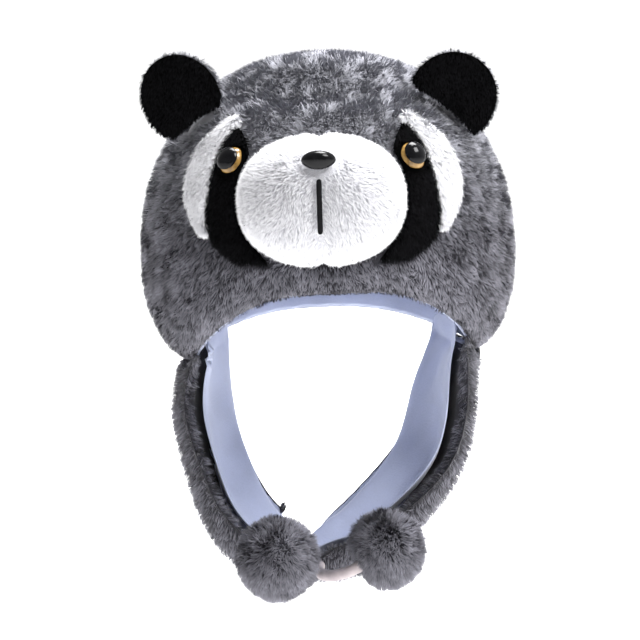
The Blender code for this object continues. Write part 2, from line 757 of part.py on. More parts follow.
grey_fur = material("grey_fur", FUR_GREY, 0.9)
black_fur = material("black_fur", FUR_BLACK, 0.9)
white_fur = material("white_fur", FUR_WHITE, 0.9)
white_lining = material("white_lining", LINING_WHITE, 0.8)
amber_plastic = material("amber_plastic", AMBER, 0.15)
pale_cord = material("pale_cord", CORD_PINK, 0.7)
black_plastic = material("black_plastic", GLOSS_BLACK, 0.1)

make_crown_fur(grey_fur)
make_crown_lining(white_lining)
make_muzzle(white_fur)
make_nose(black_plastic)
make_mouth_stitch(black_fur)
for suffix, side, flap_rows in (("left", -1, FLAP_LEFT), ("right", 1, FLAP_RIGHT)):
    make_flap("flap_" + suffix, flap_rows, side, grey_fur)
    make_flap_lining("flap_lining_" + suffix, flap_rows, side, white_lining)
    make_face_strip("eye_patch_" + suffix, EYE_PATCH, side, 5, muzzle_edge, MUZZLE_CLEARANCE, black_fur)
    make_face_strip("brow_stripe_" + suffix, BROW_STRIPE, side, 4, patch_edge, STRIPE_CLEARANCE, white_fur)
    make_eye(suffix, side, amber_plastic, black_plastic)
for ear in EARS:
    make_ear_panel("ear_front_" + ear.suffix, ear, True, black_fur)
    make_ear_panel("ear_back_" + ear.suffix, ear, False, grey_fur)

for pompom in POMPOMS:
    make_pompom(pompom, grey_fur)
    make_pompom_cord(pompom, pale_cord)
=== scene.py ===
# Looks of a plush animal hat: pile on every furry piece, brushed lining, plastic eyes and nose, cords.
# Metres, +Z up; the face looks along -Y.
import math

import bmesh
import bpy
import numpy as np
from mathutils import Matrix, Vector, noise
from mathutils.bvhtree import BVHTree
from mathutils.geometry import interpolate_bezier
from mathutils.kdtree import KDTree


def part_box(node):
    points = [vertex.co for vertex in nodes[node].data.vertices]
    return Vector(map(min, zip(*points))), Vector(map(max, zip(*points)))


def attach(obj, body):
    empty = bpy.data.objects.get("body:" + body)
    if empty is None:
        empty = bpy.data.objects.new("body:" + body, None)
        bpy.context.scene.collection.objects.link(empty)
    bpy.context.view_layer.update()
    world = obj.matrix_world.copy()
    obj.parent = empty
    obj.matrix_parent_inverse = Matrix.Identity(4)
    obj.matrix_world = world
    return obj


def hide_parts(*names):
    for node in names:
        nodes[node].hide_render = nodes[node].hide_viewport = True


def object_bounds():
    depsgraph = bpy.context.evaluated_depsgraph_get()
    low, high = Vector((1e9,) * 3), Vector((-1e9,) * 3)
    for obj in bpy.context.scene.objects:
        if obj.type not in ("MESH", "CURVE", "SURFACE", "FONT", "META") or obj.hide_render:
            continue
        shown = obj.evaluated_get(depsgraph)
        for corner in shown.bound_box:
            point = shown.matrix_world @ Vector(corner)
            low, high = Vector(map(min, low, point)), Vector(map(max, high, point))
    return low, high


noise.seed_set(5)
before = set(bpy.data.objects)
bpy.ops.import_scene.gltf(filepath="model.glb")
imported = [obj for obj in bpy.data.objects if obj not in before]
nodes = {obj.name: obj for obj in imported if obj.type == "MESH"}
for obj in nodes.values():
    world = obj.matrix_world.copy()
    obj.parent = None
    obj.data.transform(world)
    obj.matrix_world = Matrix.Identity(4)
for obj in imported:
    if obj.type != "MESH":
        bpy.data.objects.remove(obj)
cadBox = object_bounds()
crownLow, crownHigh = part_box("crown_fur")
crownMiddle = np.array(((crownLow + crownHigh) / 2)[:])


# Camera, at the photograph's angle
view = {
    "azimuth": 1.7,
    "elevation": 11,
    "roll": -1.8,
    "distance": 0.80,
    "lens": 79.0,
    "target": (-0.0057, 0.0, -0.1375),
}


def makeCamera():
    turn, rise = math.radians(view["azimuth"]), math.radians(view["elevation"])
    away = Vector((math.sin(turn) * math.cos(rise), -math.cos(turn) * math.cos(rise), math.sin(rise)))
    target = Vector(view["target"])
    aim = (-away).to_track_quat("-Z", "Y").to_matrix() @ Matrix.Rotation(math.radians(view["roll"]), 3, "Z")
    data = bpy.data.cameras.new("camera")
    data.lens = view["lens"]
    data.sensor_width = 36
    data.clip_start = 0.01
    camera = bpy.data.objects.new("camera", data)
    camera.matrix_world = Matrix.Translation(target + away * view["distance"]) @ aim.to_4x4()
    bpy.context.scene.collection.objects.link(camera)
    bpy.context.scene.camera = camera


# Shader maths
class Value:
    # a number in a material's graph, which Python's operators work on
    def __init__(self, graph, socket):
        self.graph = graph
        self.socket = socket

    def __add__(self, other):
        return self.graph.maths("ADD", self, other)

    def __mul__(self, other):
        return self.graph.maths("MULTIPLY", self, other)

    def __pow__(self, other):
        return self.graph.maths("POWER", self, other)

    __radd__ = __add__
    __rmul__ = __mul__


class Graph:
    # a material with one Principled shader; constant finishes are set on its own sockets
    def __init__(self, name, **finish):
        self.material = bpy.data.materials.new(name)
        self.material.use_nodes = True
        self.tree = self.material.node_tree
        self.shader = self.tree.nodes["Principled BSDF"]
        for socket, amount in finish.items():
            self.shader.inputs[socket.replace("_", " ")].default_value = amount

    def node(self, kind, settings=None, inputs=None):
        made = self.tree.nodes.new(kind)
        for key, setting in (settings or {}).items():
            setattr(made, key, setting)
        for key, value in (inputs or {}).items():
            if isinstance(value, Value):
                self.tree.links.new(value.socket, made.inputs[key])
            elif isinstance(value, bpy.types.NodeSocket):
                self.tree.links.new(value, made.inputs[key])
            else:
                made.inputs[key].default_value = value
        return made

    def maths(self, operation, first, second=0.0, clamp=False):
        made = self.node("ShaderNodeMath", {"operation": operation, "use_clamp": clamp}, {0: first, 1: second})
        return Value(self, made.outputs[0])

    def clamped(self, value):
        return self.maths("ADD", value, 0.0, True)

    def place(self):
        return self.node("ShaderNodeTexCoord").outputs["Object"]

    def along(self, axis):
        # the object's X, Y or Z at each point
        made = self.node("ShaderNodeSeparateXYZ", None, {"Vector": self.place()})
        return Value(self, made.outputs[axis])

    def attribute(self, name):
        made = self.node("ShaderNodeAttribute", {"attribute_name": name})
        return Value(self, made.outputs["Fac"])

    def noise(self, scale, detail=2.0, roughness=0.5, place=None):
        settings = {"Scale": scale, "Detail": detail, "Roughness": roughness, "Vector": place or self.place()}
        made = self.node("ShaderNodeTexNoise", None, settings)
        return Value(self, made.outputs["Fac"])

    def spread(self, value, low, high):
        # low..high of the value becomes 0..1
        made = self.node("ShaderNodeMapRange", None, {"Value": value, "From Min": low, "From Max": high})
        return Value(self, made.outputs["Result"])

    def mix(self, share, first, second):
        settings = {"data_type": "RGBA"}
        made = self.node("ShaderNodeMix", settings, {0: share, 6: colour(first), 7: colour(second)})
        return made.outputs[2]

    def tint(self, first, factor):
        # a colour times a number
        inputs = {0: first if isinstance(first, bpy.types.NodeSocket) else first[:3], 3: factor}
        made = self.node("ShaderNodeVectorMath", {"operation": "SCALE"}, inputs)
        return made.outputs[0]

    def base(self, socket):
        self.tree.links.new(socket, self.shader.inputs["Base Color"])

    def rough(self, value):
        self.tree.links.new(value.socket, self.shader.inputs["Roughness"])

    def bump(self, height, strength, distance):
        inputs = {"Height": height, "Strength": strength, "Distance": distance}
        made = self.node("ShaderNodeBump", None, inputs)
        self.tree.links.new(made.outputs["Normal"], self.shader.inputs["Normal"])


def colour(value):
    return value if isinstance(value, bpy.types.NodeSocket) else (*value, 1)


def makeFurMaterial(name, look):
    # dark between the hairs, light at their tips, in soft patches
    graph = Graph(name, Roughness=look["roughness"], Sheen_Weight=look["sheen"], Sheen_Roughness=0.5)
    graph.shader.inputs["Specular IOR Level"].default_value = look["specular"]
    tip = graph.attribute("tip")
    shade = graph.attribute("shade")
    broad = graph.spread(graph.noise(look["patchScale"], 2.0, 0.5), 0.35, 0.65)
    small = graph.spread(graph.noise(look["fleckScale"], 3.0, 0.6), 0.35, 0.65)
    patches = broad * 0.4 + small * 0.6
    hair = graph.mix(tip ** look["tipPower"], look["root"], look["tip"])
    mottled = graph.tint(hair, (1 - look["patchDepth"]) + patches * look["patchDepth"])
    if look.get("paintedTopLight"):
        # painted light: the pile is painted paler on top, where the light falls from above, than round its sides
        high = graph.clamped(graph.spread(graph.along("Z"), *look["paintedTopLightFrom"]))
        mottled = graph.mix(high * look["paintedTopLight"], mottled, look["paintedTopLightTint"])
    graph.base(graph.tint(mottled, (1 - look["strandDepth"]) + shade * look["strandDepth"]))
    return graph.material


def makeClothMaterial(name, look):
    # brushed cloth: a fine nap with broad soft shading
    graph = Graph(name, Roughness=look["roughness"], Sheen_Weight=look["sheen"], Sheen_Roughness=0.4)
    graph.shader.inputs["Specular IOR Level"].default_value = 0.08
    nap = graph.noise(look["napScale"], 3.0, 0.65)
    cloud = graph.spread(graph.noise(look["cloudScale"], 2.0), 0.3, 0.7)
    graph.base(graph.mix(graph.clamped(cloud * 0.6 + nap * 0.4), look["dark"], look["light"]))
    graph.bump(nap + cloud * 0.5, look["bump"], 0.0006)
    return graph.material


def makePlasticMaterial(name, look):
    graph = Graph(name, Coat_Weight=look["coat"], Coat_Roughness=0.03)
    graph.shader.inputs["Specular IOR Level"].default_value = look["specular"]
    cloud = graph.spread(graph.noise(look["scale"], 2.0), 0.3, 0.7)
    graph.base(graph.mix(cloud, look["dark"], look["light"]))
    graph.rough(look["roughness"] + graph.noise(900.0, 2.0) * 0.04)
    return graph.material


# Mesh helpers
def linked(name, mesh):
    made = bpy.data.objects.new(name, mesh)
    bpy.context.scene.collection.objects.link(made)
    return made


def nodeMesh(nodeName):
    # a CAD node's triangles, merged
    bm = bmesh.new()
    bm.from_mesh(nodes[nodeName].data)
    bmesh.ops.remove_doubles(bm, verts=bm.verts, dist=1e-5)
    return bm


def smoothed(bm, name, levels):
    # the mesh with its subdivision applied
    rough = bpy.data.meshes.new(name)
    bm.to_mesh(rough)
    bm.free()
    made = linked(name, rough)
    modifier = made.modifiers.new("Round", "SUBSURF")
    modifier.levels = levels
    modifier.render_levels = levels
    done = bpy.data.meshes.new_from_object(made.evaluated_get(bpy.context.evaluated_depsgraph_get()))
    done.name = name
    made.modifiers.clear()
    made.data = done
    done.shade_smooth()
    return made


def arrayOf(collection, key, width):
    values = np.empty(len(collection) * width, np.float32)
    collection.foreach_get(key, values)
    return values.reshape(-1, width).astype(float)


def unit(vectors):
    return vectors / np.maximum(np.linalg.norm(vectors, axis=1, keepdims=True), 1e-9)


def smoothstep(low, high, x):
    t = np.clip((x - low) / (high - low), 0, 1)
    return t * t * (3 - 2 * t)


def sink(piece, depth, weight):
    # draws the surface in along its normals, so that the pile comes out to the solid's own outline
    places = arrayOf(piece.data.vertices, "co", 3)
    normals = arrayOf(piece.data.vertex_normals, "vector", 3)
    bm = bmesh.new()
    bm.from_mesh(piece.data)
    tree = BVHTree.FromBMesh(bm)
    bm.free()
    room = np.full(len(places), depth)
    for i, (place, normal) in enumerate(zip(places, normals)):
        through = tree.ray_cast(place - normal * 1e-4, -normal, depth * 4)[3]
        if through is not None:
            room[i] = min(depth, through * 0.35)
    places -= normals * (room * weight(places, normals))[:, None]
    piece.data.vertices.foreach_set("co", places.astype(np.float32).ravel())
    piece.data.update()


def treeOf(*names):
    # every triangle of these CAD nodes, for asking how near they are
    bm = bmesh.new()
    for name in names:
        bm.from_mesh(nodes[name].data)
    tree = BVHTree.FromBMesh(bm)
    bm.free()
    return tree


def distances(tree, places, limit=0.02):
    found = np.full(len(places), limit)
    for i, place in enumerate(places):
        hit = tree.find_nearest(place, limit)
        if hit[3] is not None:
            found[i] = hit[3]
    return found


def scatter(mesh, count, rng, keep=None):
    # evenly spread points on a mesh's triangles, with their smooth normals
    mesh.calc_loop_triangles()
    corners = np.empty(len(mesh.loop_triangles) * 3, np.int32)
    mesh.loop_triangles.foreach_get("vertices", corners)
    corners = corners.reshape(-1, 3)
    places = arrayOf(mesh.vertices, "co", 3)[corners]
    normals = arrayOf(mesh.vertex_normals, "vector", 3)[corners]
    size = np.linalg.norm(np.cross(places[:, 1] - places[:, 0], places[:, 2] - places[:, 0]), axis=1) / 2
    if keep is not None:
        size = size * keep(places.mean(1), unit(normals.mean(1)))
    reach = np.cumsum(size)
    steps = (np.arange(count) + rng.random(count)) / count * reach[-1]
    picked = np.minimum(np.searchsorted(reach, steps), len(size) - 1)
    root, side = np.sqrt(rng.random(count)), rng.random(count)
    weights = np.stack([1 - root, root * (1 - side), root * side], 1)[:, :, None]
    return (places[picked] * weights).sum(1), unit((normals[picked] * weights).sum(1))


def waves(places, scale, seed):
    # a smooth random vector at each point
    shift = Vector((seed * 7.3, seed * 3.1, seed * 5.7))
    return np.array([noise.noise_vector(Vector(p) * scale + shift) for p in places])


def gathered(roots, tips, locks, pull, rng):
    # tips lean together in locks
    chosen = rng.choice(len(roots), max(4, int(locks)), replace=False)
    tree = KDTree(len(chosen))
    for i, k in enumerate(chosen):
        tree.insert(roots[k], i)
    tree.balance()
    lock = np.array([tree.find(root)[1] for root in roots])
    middle = tips[chosen][lock]
    return tips + (middle - tips) * pull[:, None], lock


def growPile(name, skin, pile, seed, material, keep=None, comb=None, trim=None):
    # blades of five corners: a bent body and a point, wide side outwards
    rng = np.random.default_rng(seed)
    roots, normals = scatter(skin.data, pile["count"], rng, keep)
    if trim is not None:
        left = trim(roots, normals)
        stays = left > 0.05
        roots, normals, left = roots[stays], normals[stays], left[stays]
    else:
        left = np.ones(len(roots))
    count = len(roots)
    flow = np.tile(pile["flow"], (count, 1)).astype(float)
    if comb is not None:
        flow = comb(roots, normals)
    flow = flow + waves(roots, pile["swirlScale"], seed) * pile["swirl"]
    flow = flow + rng.normal(0, pile["stray"], (count, 3))
    flow = unit(flow - normals * (flow * normals).sum(1)[:, None])
    lean = np.radians(pile["lean"] + rng.normal(0, pile["leanSpread"], count)).clip(0.1, 1.45)[:, None]
    length = (pile["length"] * left * rng.uniform(0.72, 1.12, count))[:, None]
    first = normals * np.cos(lean * 0.7) + flow * np.sin(lean * 0.7)
    last = normals * np.cos(lean * 1.25) + flow * np.sin(lean * 1.25)
    bends = roots + first * length * 0.5
    tips = bends + unit(last) * length * 0.5
    pull = rng.uniform(0.25, 1.0, count) * pile["pull"]
    tips, lock = gathered(roots, tips, count / pile["perLock"], pull, rng)
    bends = bends + (tips - roots - (bends - roots) * 2) * 0.2
    across = unit(np.cross(tips - roots, normals))
    wide = (pile["width"] * rng.uniform(0.7, 1.3, count))[:, None] * across / 2
    corners = np.stack([roots - wide, roots + wide, bends - wide * 0.8, bends + wide * 0.8, tips], 1)
    lockShade = rng.random(lock.max() + 1)[lock]
    shade = 0.55 * lockShade + 0.45 * rng.random(count)
    mesh = bladeMesh(name, corners, shade)
    soft = unit(normals * pile["soft"] + unit(np.cross(across, tips - roots)) * (1 - pile["soft"]))
    mesh.normals_split_custom_set_from_vertices(np.repeat(soft, 5, axis=0).tolist())
    mesh.materials.append(material)
    return linked(name, mesh)


def bladeMesh(name, corners, shade):
    count = len(corners)
    mesh = bpy.data.meshes.new(name)
    mesh.vertices.add(count * 5)
    mesh.vertices.foreach_set("co", corners.astype(np.float32).ravel())
    loops = np.array([0, 1, 3, 2, 2, 3, 4])
    mesh.loops.add(count * 7)
    mesh.loops.foreach_set("vertex_index", (np.arange(count)[:, None] * 5 + loops).astype(np.int32).ravel())
    mesh.polygons.add(count * 2)
    starts = np.arange(count)[:, None] * 7 + np.array([0, 4])
    mesh.polygons.foreach_set("loop_start", starts.astype(np.int32).ravel())
    mesh.update(calc_edges=True)
    mesh.shade_smooth()
    for key, values in (("tip", np.tile([0, 0, 0.5, 0.5, 1.0], count)), ("shade", np.repeat(shade, 5))):
        attribute = mesh.attributes.new(key, "FLOAT", "POINT")
        attribute.data.foreach_set("value", values.astype(np.float32))
    return mesh


def settle(piece, slotName, *stoodFor):
    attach(piece, "root")
    if stoodFor:
        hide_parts(*stoodFor)


# Finishes
greyFur = makeFurMaterial("greyPlush", {
    "root": (0.085, 0.082, 0.098),
    "tip": (0.50, 0.495, 0.57),
    "tipPower": 1.15,
    "patchScale": 28.0,
    "fleckScale": 120.0,
    "patchDepth": 0.55,
    "strandDepth": 0.45,
    # painted light: how much paler the top of the hat is painted, its tint, and the heights over which it fades
    # in
    "paintedTopLight": 0.42,
    "paintedTopLightTint": (0.60, 0.61, 0.67),
    "paintedTopLightFrom": (-0.082, -0.040),
    "roughness": 0.9,
    "specular": 0.08,
    "sheen": 0.12,
})
whiteFur = makeFurMaterial("whitePlush", {
    "root": (0.58, 0.58, 0.62),
    "tip": (0.88, 0.88, 0.90),
    "tipPower": 0.8,
    "patchScale": 40.0,
    "fleckScale": 150.0,
    "patchDepth": 0.05,
    "strandDepth": 0.10,
    "roughness": 0.85,
    "specular": 0.1,
    "sheen": 0.2,
})
blackFur = makeFurMaterial("blackPlush", {
    "root": (0.001, 0.001, 0.001),
    "tip": (0.012, 0.012, 0.014),
    "tipPower": 1.4,
    "patchScale": 40.0,
    "fleckScale": 150.0,
    "patchDepth": 0.4,
    "strandDepth": 0.6,
    "roughness": 0.9,
    "specular": 0.04,
    "sheen": 0.0,
})
liningCloth = makeClothMaterial("brushedLining", {
    "dark": (0.34, 0.37, 0.49),
    "light": (0.53, 0.575, 0.74),
    "napScale": 900.0,
    "cloudScale": 25.0,
    "bump": 0.5,
    "roughness": 0.9,
    "sheen": 0.35,
})
cordCloth = makeClothMaterial("paleCord", {
    "dark": (0.34, 0.29, 0.31),
    "light": (0.55, 0.49, 0.50),
    "napScale": 700.0,
    "cloudScale": 120.0,
    "bump": 0.6,
    "roughness": 0.85,
    "sheen": 0.3,
})
threadCloth = makeClothMaterial("blackThread", {
    "dark": (0.001, 0.001, 0.001),
    "light": (0.005, 0.005, 0.006),
    "napScale": 1500.0,
    "cloudScale": 300.0,
    "bump": 0.8,
    "roughness": 0.6,
    "sheen": 0.0,
})
amber = makePlasticMaterial("amberPlastic", {
    "dark": (0.11, 0.055, 0.010),
    "light": (0.36, 0.21, 0.055),
    "scale": 260.0,
    "roughness": 0.12,
    "specular": 0.3,
    "coat": 0.3,
})
gloss = makePlasticMaterial("blackPlastic", {
    "dark": (0.001, 0.001, 0.0015),
    "light": (0.004, 0.004, 0.005),
    "scale": 200.0,
    "roughness": 0.10,
    "specular": 0.14,
    "coat": 0.10,
})


def away(places, middle):
    return unit(places - np.asarray(middle))


def outwardness(places, normals):
    # 1 where the surface faces out of the crown, -1 where it faces its hollow
    return (normals * away(places, crownMiddle)).sum(1)


def downhill(places, normals):
    # hair falls from the crown's top outwards and down
    flow = np.tile([0.0, 0.0, -1.0], (len(places), 1)) + away(places, crownMiddle) * 0.5
    flow[:, 1] -= 0.15
    return flow


# Crown
crown = {
    "sink": 0.0030,
    "lap": 0.0022,  # how near a patch, stripe or the muzzle leaves no room for grey hair
    "hem": 0.012,  # height over the rim in which the pile shortens
    "hemLeast": 0.25,
    "rimDepth": 0.006,  # how high the lining comes round the rim, from below
    "pile": {
        "count": 52000,
        "length": 0.0047,
        "width": 0.00040,
        "flow": (0, 0, -1),
        "swirl": 1.1,
        "swirlScale": 110.0,
        "stray": 0.45,
        "lean": 42,
        "leanSpread": 13,
        "perLock": 8,
        "pull": 0.6,
        "soft": 0.85,
    },
}


def clothSide(piece, isCloth):
    # faces on the lined side, past the lining's own edge, are cloth too
    piece.data.materials.append(liningCloth)
    for face in piece.data.polygons:
        if isCloth(face.center, face.normal):
            face.material_index = 1


def turnOf(places):
    # degrees round the hat, from the face towards +X
    return np.degrees(np.arctan2(places[:, 0], -places[:, 1]))


def rimLevels(skin):
    # the rim's height for every ten degrees
    places = arrayOf(skin.data.vertices, "co", 3)
    turns = turnOf(places)
    middles = np.arange(-175.0, 180.0, 10.0)
    levels = [places[np.abs((turns - m + 180) % 360 - 180) < 8][:, 2].min() for m in middles]
    return middles, np.array(levels)


def makeCrown():
    skin = smoothed(nodeMesh("crown_fur"), "crown_skin", 1)
    sink(skin, crown["sink"], lambda places, normals: smoothstep(-0.1, 0.5, outwardness(places, normals)))
    skin.data.materials.append(greyFur)
    rim = rimLevels(skin)

    def inside(middle, normal):
        level = np.interp(math.degrees(math.atan2(middle.x, -middle.y)), rim[0], rim[1], period=360)
        under = normal.z < -0.5 and middle.z < level + crown["rimDepth"] and middle.y > -0.02
        return under or normal.dot((middle - Vector(crownMiddle)).normalized()) < 0.05

    clothSide(skin, inside)
    settle(skin, "grey_fur", "crown_fur")
    covers = treeOf("muzzle", "eye_patch_left", "eye_patch_right", "brow_stripe_left", "brow_stripe_right",
                    "ear_back_left", "ear_back_right", "ear_front_left", "ear_front_right")

    def room(roots, normals):
        top = roots + normals * crown["sink"]
        clear = (distances(covers, top) > crown["lap"]).astype(float)
        height = roots[:, 2] - np.interp(turnOf(roots), rim[0], rim[1], period=360)
        least = crown["hemLeast"]
        return clear * (least + (1 - least) * smoothstep(0.0, crown["hem"], height))

    sectors = {"front": (-60, 60), "right": (60, 180), "left": (180, 300)}
    for index, (sector, (low, high)) in enumerate(sectors.items()):

        def keep(places, normals):
            within = (turnOf(places) - low) % 360 < high - low
            return within * (outwardness(places, normals) > 0.05)

        pile = growPile("crown_pile_" + sector, skin, crown["pile"], 11 + index, greyFur, keep, downhill, room)
        settle(pile, "grey_fur")


def makeCrownLining():
    skin = smoothed(nodeMesh("crown_lining"), "crown_lining_cloth", 1)
    skin.data.materials.append(liningCloth)
    settle(skin, "white_lining", "crown_lining")


# Flaps
flap = {
    "sink": 0.0034,
    "seam": 0.0012,  # how far in front of the lining's edge the cloth ends
    "frontClear": (0.0006, 0.0022),  # from the lining, over which hair in front of it grows to full length
    "sideClear": (0.003, 0.009),  # and anywhere else
    "rimClear": (0.0003, 0.0022),  # from the crown's rim
    "backTrim": 0.75,  # how much shorter the hair is along the back edge
    "pile": {
        "count": 22000,
        "length": 0.0047,
        "width": 0.00042,
        "flow": (0, 0, -1),
        "swirl": 0.9,
        "swirlScale": 110.0,
        "stray": 0.45,
        "lean": 42,
        "leanSpread": 13,
        "perLock": 8,
        "pull": 0.6,
        "soft": 0.85,
    },
}


def makeFlap(suffix, seed):
    liningTree = treeOf("flap_lining_" + suffix)
    skin = smoothed(nodeMesh("flap_" + suffix), "flap_skin_" + suffix, 1)

    def clearOfLining(places, normals):
        return smoothstep(0.002, 0.006, distances(liningTree, places))

    inner = innerSheet(suffix, treeOf("flap_" + suffix))
    innerTree = BVHTree.FromBMesh(inner)
    inner.free()

    def lined(middle, normal):
        # the flap's own inner side, up to the roll of its back edge
        hit, flat, index, near = innerTree.find_nearest(middle, 0.014)
        if near is None or middle.y < hit.y - flap["seam"]:
            return False
        if near > 0.0022 and middle.y < hit.y + 0.0010:
            return False
        facing = normal.dot(flat)
        return facing > 0.35 or (facing > -0.15 and near < 0.005 and abs(normal.z) < 0.6)

    sink(skin, flap["sink"], clearOfLining)
    skin.data.materials.append(greyFur)
    clothSide(skin, lined)
    settle(skin, "grey_fur", "flap_" + suffix)
    rim = treeOf("crown_fur")

    def room(roots, normals):
        near = distances(liningTree, roots + normals * 0.001)
        edge = np.array([liningTree.find_nearest(Vector(r))[0].y for r in roots]) - flap["seam"]
        inFront = smoothstep(*flap["frontClear"], near)
        clear = np.where(roots[:, 1] < edge, inFront, smoothstep(*flap["sideClear"], near))
        clear = clear * np.array([not lined(Vector(r), Vector(n)) for r, n in zip(roots, normals)])
        behind = smoothstep(0.35, 0.8, normals[:, 1]) * smoothstep(0.016, 0.008, distances(liningTree, roots))
        return clear * (1 - flap["backTrim"] * behind) * smoothstep(*flap["rimClear"], distances(rim, roots))

    pile = growPile("flap_pile_" + suffix, skin, flap["pile"], seed, greyFur, None, None, room)
    settle(pile, "grey_fur")


lining = {
    "wrap": 0.0022,  # each of the rings that turn the cloth over the flap's back edge
    "rings": 2,
    "top": 0.0064,  # each of the rings that carry it up into the crown
    "lift": 0.0006,  # over the flap
    "thick": 0.0008,
    "most": 0.0030,  # how far a fold rises
    "fade": 0.011,  # from the edge to where the folds have their full height
    "foldScale": 40.0,
    "grain": (1.0, 1.0, 0.45),
}


def innerSheet(suffix, tree):
    # the lining's inner side, without its back and edges
    bm = nodeMesh("flap_lining_" + suffix)
    bmesh.ops.recalc_face_normals(bm, faces=bm.faces)
    outer = []
    for face in bm.faces:
        middle = face.calc_center_median()
        toFlap = (tree.find_nearest(middle)[0] - middle).normalized()
        if face.normal.dot(toFlap) > -0.5:
            outer.append(face)
    bmesh.ops.delete(bm, geom=outer, context="FACES")
    return bm


def widen(bm, tree, topZ):
    # one more ring of cloth along the back edge and the top, laid on the flap
    chosen, pulls = [], {}
    for edge in (e for e in bm.edges if e.is_boundary):
        side = (edge.verts[0].co + edge.verts[1].co) / 2 - edge.link_faces[0].calc_center_median()
        along = (edge.verts[1].co - edge.verts[0].co).normalized()
        side = (side - along * side.dot(along)).normalized()
        top = side.z > 0.5 and edge.verts[0].co.z > topZ - 0.02
        if top or side.y > 0.25:
            chosen.append(edge)
            for vert in edge.verts:
                pulls.setdefault(vert, {}).setdefault(top, Vector())
                pulls[vert][top] += side
    moves = {}
    for vert, sides in pulls.items():
        top = True in sides
        moves[vert] = Vector((0, 0, lining["top"])) if top else sides[top].normalized() * lining["wrap"]
    places = {v: v.co.copy() for v in moves}
    made = bmesh.ops.extrude_edge_only(bm, edges=chosen)["geom"]
    for vert in (g for g in made if isinstance(g, bmesh.types.BMVert)):
        source = min(places, key=lambda v: (places[v] - vert.co).length)
        target = vert.co + moves[source]
        hit, normal, index, distance = tree.find_nearest(target)
        upward = moves[source].length > 0.9 * lining["top"]
        vert.co = target if upward or distance > 0.006 else hit + normal * lining["lift"]


def foldCloth(piece, tree):
    # the loose cloth lies in soft folds along the flap, which fade out towards its sewn edges
    places = arrayOf(piece.data.vertices, "co", 3)
    normals = arrayOf(piece.data.vertex_normals, "vector", 3)
    rims = sorted({vert for edge in openEdges(piece.data) for vert in edge})
    rimTree = KDTree(len(rims))
    for vert in rims:
        rimTree.insert(places[vert], vert)
    rimTree.balance()
    fade = smoothstep(0.0, lining["fade"], np.array([rimTree.find(place)[2] for place in places]))
    folds = waves(places * lining["grain"], lining["foldScale"], 3)[:, 0]
    rise = lining["most"] * fade * smoothstep(-0.5, 0.5, folds)
    moved = places + normals * rise[:, None]
    for i, place in enumerate(moved):
        hit, normal, index, distance = tree.find_nearest(Vector(place))
        over = (Vector(place) - hit).dot(normal)
        if over < lining["lift"] and distance < 0.01:
            moved[i] = Vector(place) + normal * (lining["lift"] - over)
    piece.data.vertices.foreach_set("co", moved.astype(np.float32).ravel())
    piece.data.update()


def openEdges(mesh):
    # the edges with one face
    seen = {}
    for face in mesh.polygons:
        for key in face.edge_keys:
            seen[key] = seen.get(key, 0) + 1
    return [key for key, count in seen.items() if count == 1]


def inOrder(bm):
    # puts corners, edges and faces in an order that is the same in every run
    across = Vector((1.0, 37.1, 1013.7))
    bm.verts.sort(key=lambda vert: vert.co.dot(across))
    bm.edges.sort(key=lambda edge: (edge.verts[0].co + edge.verts[1].co).dot(across))
    bm.faces.sort(key=lambda face: face.calc_center_median().dot(across))
    for items in (bm.verts, bm.edges, bm.faces):
        items.index_update()


def makeFlapLining(suffix):
    tree = treeOf("flap_" + suffix)
    bm = innerSheet(suffix, tree)
    topZ = max(v.co.z for v in bm.verts)
    for ring in range(lining["rings"]):
        widen(bm, tree, topZ)
        inOrder(bm)
    sheet = smoothed(bm, "flap_lining_cloth_" + suffix, 3)
    foldCloth(sheet, tree)
    wall = sheet.modifiers.new("Wall", "SOLIDIFY")
    wall.thickness = lining["thick"]
    wall.offset = 1
    sheet.data = bpy.data.meshes.new_from_object(sheet.evaluated_get(bpy.context.evaluated_depsgraph_get()))
    sheet.modifiers.clear()
    sheet.data.name = sheet.name
    sheet.data.shade_smooth()
    sheet.data.materials.append(liningCloth)
    settle(sheet, "white_lining", "flap_lining_" + suffix)


# Muzzle, nose and mouth
muzzle = {
    "sink": 0.0022,
    "noseClear": (0.0004, 0.004),
    "eyeClear": (0.0008, 0.005),
    "partingWidth": 0.006,  # hair is combed to both sides of the crease
    "stitchWidth": 0.0022,  # and is shorter in it
    "pile": {
        "count": 28000,
        "length": 0.0038,
        "width": 0.00034,
        "flow": (0, 0, -1),
        "swirl": 1.0,
        "swirlScale": 140.0,
        "stray": 0.4,
        "lean": 46,
        "leanSpread": 14,
        "perLock": 7,
        "pull": 0.45,
        "soft": 0.85,
    },
}


